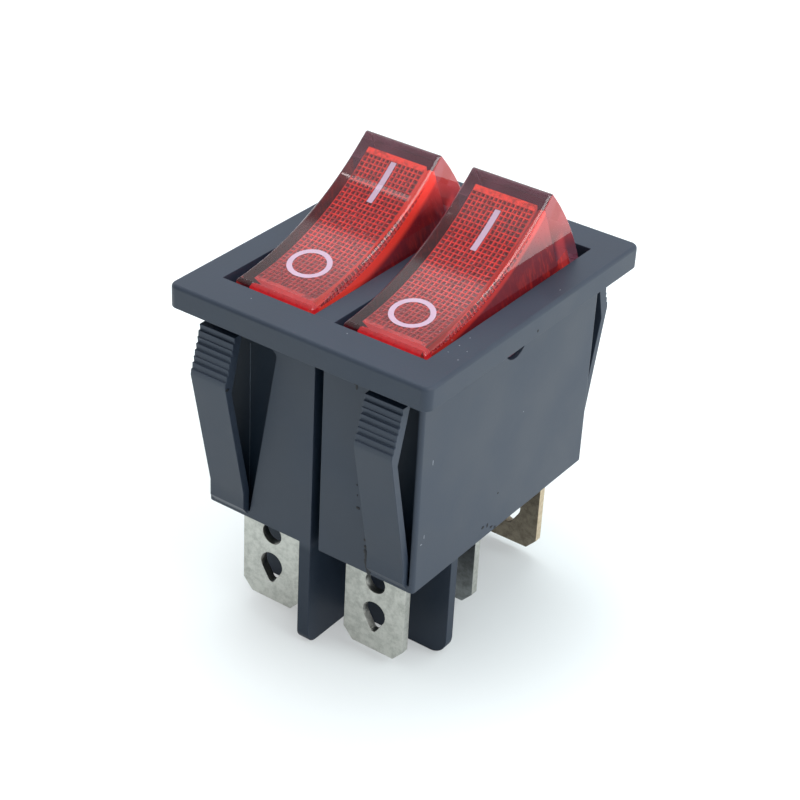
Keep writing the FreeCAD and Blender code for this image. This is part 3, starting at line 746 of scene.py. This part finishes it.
for side in SIDES:
    core = taken_over(f"{side}_core", f"{side}_red_core")
    for finish in core_materials + (side_reds[side],):
        core.data.materials.append(finish)
    select_only(core)
    pivot = pivot_of(side)
    bpy.ops.object.mode_set(mode="EDIT")
    bpy.ops.mesh.select_mode(type="FACE")
    for index, fits in ((SIDE, on_core_side), (END, on_core_end)):
        paint(core, index, lambda face: fits(*levelled(face, side)))
    mesh = bmesh.from_edit_mesh(core.data)
    corners = [v.co - pivot for f in top_faces(mesh, side) for v in f.verts]
    edges_y = sorted({round(corner.dot(level_y) / MM, 2) for corner in corners})
    half = max(abs(corner.x) for corner in corners)
    end = edges_y[-1] * MM
    inner_half = half - rim_across * MM
    first_row, last_row = rim_low * MM - end, end - rim_raised * MM
    cuts = [(level_y, first_row), (level_y, last_row)]
    for first, last in zip(edges_y, edges_y[1:]):
        cuts += [(level_y, (first + (last - first) * k / rows_each) * MM)
                 for k in range(rows_each)]
    cuts += [(Vector((1, 0, 0)), -inner_half + 2 * inner_half * k / columns)
             for k in range(columns + 1)]
    for normal, distance in cuts:
        mesh = bmesh.from_edit_mesh(core.data)
        core_top = top_faces(mesh, side)
        choose(core, lambda face: face in core_top)
        bpy.ops.mesh.bisect(plane_co=pivot + normal * distance, plane_no=normal)
    mesh = bmesh.from_edit_mesh(core.data)
    whole_top = top_faces(mesh, side)
    cells = {f for f in whole_top if abs((f.calc_center_median() - pivot).x) < inner_half
             and first_row < (f.calc_center_median() - pivot).dot(level_y) < last_row}
    rim = whole_top - cells
    paint(core, RIM, lambda face: face in rim)
    choose(core, lambda face: face in cells)
    # The slopes of the sunk cells get a darker red and their floors a darker red still: painted
    # shade in the pyramids.
    for thickness, depth, index in ((cell_wall, 0, SLOPE), (cell_slope, -cell_depth, DEEP)):
        bpy.ops.mesh.inset(thickness=thickness * MM, depth=depth * MM, use_individual=True)
        core.active_material_index = index
        bpy.ops.object.material_slot_assign()
    bpy.ops.object.mode_set(mode="OBJECT")
    bpy.ops.object.shade_smooth_by_angle(angle=cell_edge_angle)


# Printed marks: a line and a ring of pale lilac ink on each core's top, under the lens. They sit
# a little differently on the two rockers, as prints do.
ink = simple_material("pale_ink", {"Base Color": (0.62, 0.47, 0.60, 1), "Roughness": 0.5})
ink_gap, ink_thickness = 0.012, 0.016
line_half_width, line_half_length = 0.27, 2.08
ring_radius, ring_width, ring_squeeze = 1.96, 0.48, 0.95


def lay_on_core(piece, side):
    """Bends a flat mark, drawn level, onto the core's top and sets it in its place."""
    for vertex in piece.data.vertices:
        x, y, z = vertex.co
        top = core_centre - math.sqrt(core_radius * core_radius - y / MM * (y / MM))
        height = (top + ink_gap) * MM + z
        vertex.co = pivot_of(side, x) + level_y * y + level_z * height


line_middles = {"left": (0.0, 5.78), "right": (0.04, 4.92)}
ring_middles = {"left": (-0.42, -4.5), "right": (-0.37, -5.45)}
for side in SIDES:
    bpy.ops.mesh.primitive_grid_add(x_subdivisions=1, y_subdivisions=24, size=2 * MM)
    line = bpy.context.object
    line.name = f"{side}_line_mark"
    line.data.transform(Matrix.Diagonal((line_half_width, line_half_length, 1, 1)))
    bpy.ops.mesh.primitive_circle_add(vertices=72, radius=ring_radius * MM, fill_type="NGON")
    ring = bpy.context.object
    ring.name = f"{side}_ring_mark"
    bpy.ops.object.mode_set(mode="EDIT")
    bpy.ops.mesh.inset(thickness=ring_width * MM)
    bpy.ops.mesh.delete(type="FACE")
    bpy.ops.object.mode_set(mode="OBJECT")
    ring.data.transform(Matrix.Diagonal((1, ring_squeeze, 1, 1)))
    for mark, (x, y) in ((line, line_middles[side]), (ring, ring_middles[side])):
        mark.data.transform(Matrix.Translation((x * MM, y * MM, 0)))
        lay_on_core(mark, side)
        mark.data.materials.append(ink)
        select_only(mark)
        depth = mark.modifiers.new("ink_depth", "SOLIDIFY")
        depth.thickness = ink_thickness * MM
        depth.offset = 1
        bpy.ops.object.modifier_apply(modifier=depth.name)
        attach(mark, f"{side}_rocker")


# Blades: stamped brass strip, nickel plated at the front and middle and left bare at the back,
# pushed up through the housing's floor. The cut edges are slightly rounded. Painted shade darkens
# the faces of the middle and back blades, and painted light brightens the back blades' cut edges.
def metal(name, colour, shade, roughness):
    """Rolled strip: fine lines along the blade, smudges and small marks."""
    material, tree, shader = new_material(name)
    place = object_place(tree)
    stretch = tree.nodes.new("ShaderNodeMapping")
    stretch.inputs["Scale"].default_value = (3000, 3000, 160)
    tree.links.new(place, stretch.inputs["Vector"])
    lines = noise_in(tree, stretch.outputs["Vector"], 1.0, 3.0)
    smudge = noise_in(tree, place, 1500, 8.0, 0.75).outputs["Fac"]
    tree.links.new(mix_colours(tree, ramp_in(tree, smudge, 0.38, 0.66), colour, shade),
                   shader.inputs["Base Color"])
    shader.inputs["Metallic"].default_value = 1.0
    tree.links.new(ramp_in(tree, smudge, 0.3, 0.7, roughness - 0.08, roughness + 0.10),
                   shader.inputs["Roughness"])
    add_bump(tree, shader, lines.outputs["Fac"], 0.3, 0.00002)
    return material


nickel = metal("nickel_plate", (0.50, 0.505, 0.465, 1), (0.37, 0.375, 0.345, 1), 0.38)
nickel_painted_shade = metal("nickel_painted_shade", (0.24, 0.26, 0.26, 1), (0.17, 0.18, 0.18, 1), 0.42)
brass = metal("bare_brass_painted_shade", (0.24, 0.21, 0.16, 1), (0.17, 0.145, 0.11, 1), 0.42)
brass_painted_light = metal("brass_painted_light", (0.62, 0.51, 0.36, 1), (0.50, 0.40, 0.27, 1), 0.38)
for side in SIDES:
    for row, face_finish, edge_finish, slot in (
            ("load", nickel, nickel, "nickel_blade"), ("line", nickel_painted_shade, nickel, "nickel_blade"),
            ("lamp", brass, brass_painted_light, "brass_blade")):
        blade = taken_over(f"{side}_{row}_terminal", f"{side}_{row}_blade")
        blade.data.materials.append(face_finish)
        blade.data.materials.append(edge_finish)
        select_only(blade)
        bpy.ops.object.mode_set(mode="EDIT")
        paint(blade, 1, lambda face: abs(face.normal.x) > 0.9 and not face.smooth)
        bpy.ops.object.mode_set(mode="OBJECT")
        round_edges(blade, 0.06, 2)


# Works inside the housing, out of sight: copper levers and silver contacts, acetal plungers,
# glass neon lamps and lacquered resistors. They keep the measured shapes and get their finishes.
copper = metal("copper_lever", (0.80, 0.50, 0.33, 1), (0.60, 0.36, 0.24, 1), 0.35)
silver = metal("silver_contact", (0.86, 0.86, 0.84, 1), (0.70, 0.70, 0.68, 1), 0.30)


def plain(name, colour, shade, roughness):
    """A moulded or lacquered finish with a slight change of tone."""
    material, tree, shader = new_material(name)
    grain, flow = moulded_skin(tree)
    tree.links.new(mix_colours(tree, ramp_in(tree, flow, 0.3, 0.7), colour, shade),
                   shader.inputs["Base Color"])
    tree.links.new(ramp_in(tree, grain, 0.3, 0.7, roughness - 0.05, roughness + 0.05),
                   shader.inputs["Roughness"])
    return material


acetal = plain("white_acetal", (0.86, 0.85, 0.80, 1), (0.80, 0.79, 0.74, 1), 0.4)
lacquer = plain("resistor_lacquer", (0.62, 0.50, 0.34, 1), (0.54, 0.42, 0.28, 1), 0.5)
glass = plain("lamp_glass", (0.94, 0.92, 0.88, 1), (0.90, 0.87, 0.82, 1), 0.08)
glass.node_tree.nodes["Principled BSDF"].inputs["Transmission Weight"].default_value = 0.9
for side in SIDES:
    for part, finish in (("plunger", acetal), ("lever", copper), ("lever_contact", silver),
                         ("fixed_contact", silver), ("resistor", lacquer), ("neon_lamp", glass)):
        works = nodes[f"{side}_{part}"]
        works.data.materials.clear()
        works.data.materials.append(finish)


# Springs: coiled steel wire, shaded smooth. The lamp's spring stands on its terminal under the
# core, and the plunger's spring sits in the core's boss.
steel = metal("spring_steel", (0.60, 0.60, 0.60, 1), (0.45, 0.45, 0.46, 1), 0.35)
lamp_spring_place, lamp_spring_foot = 0.00835, -0.0134
boss_top = 0.6
pressed_lamp_spring, pressed_plunger_spring = 0.42, 0.75
for side in SIDES:
    lamp_seat = (rocker_places[side] * MM, lamp_spring_place, lamp_spring_foot)
    plunger_seat = pivot_of(side) + level_z * boss_top * MM
    for part, joint, axis, seat, keep in (
            ("lamp_spring", "rocker_hinge", (0, 0, 1), lamp_seat, pressed_lamp_spring),
            ("plunger_spring", "plunger_slide", tuple(level_z), tuple(plunger_seat),
             pressed_plunger_spring)):
        coil = taken_over(f"{side}_{part}", f"{side}_{part}_coil")
        coil.data.materials.append(steel)
        select_only(coil)
        bpy.ops.object.shade_smooth_by_angle(angle=smooth_angle)
        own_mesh(coil)
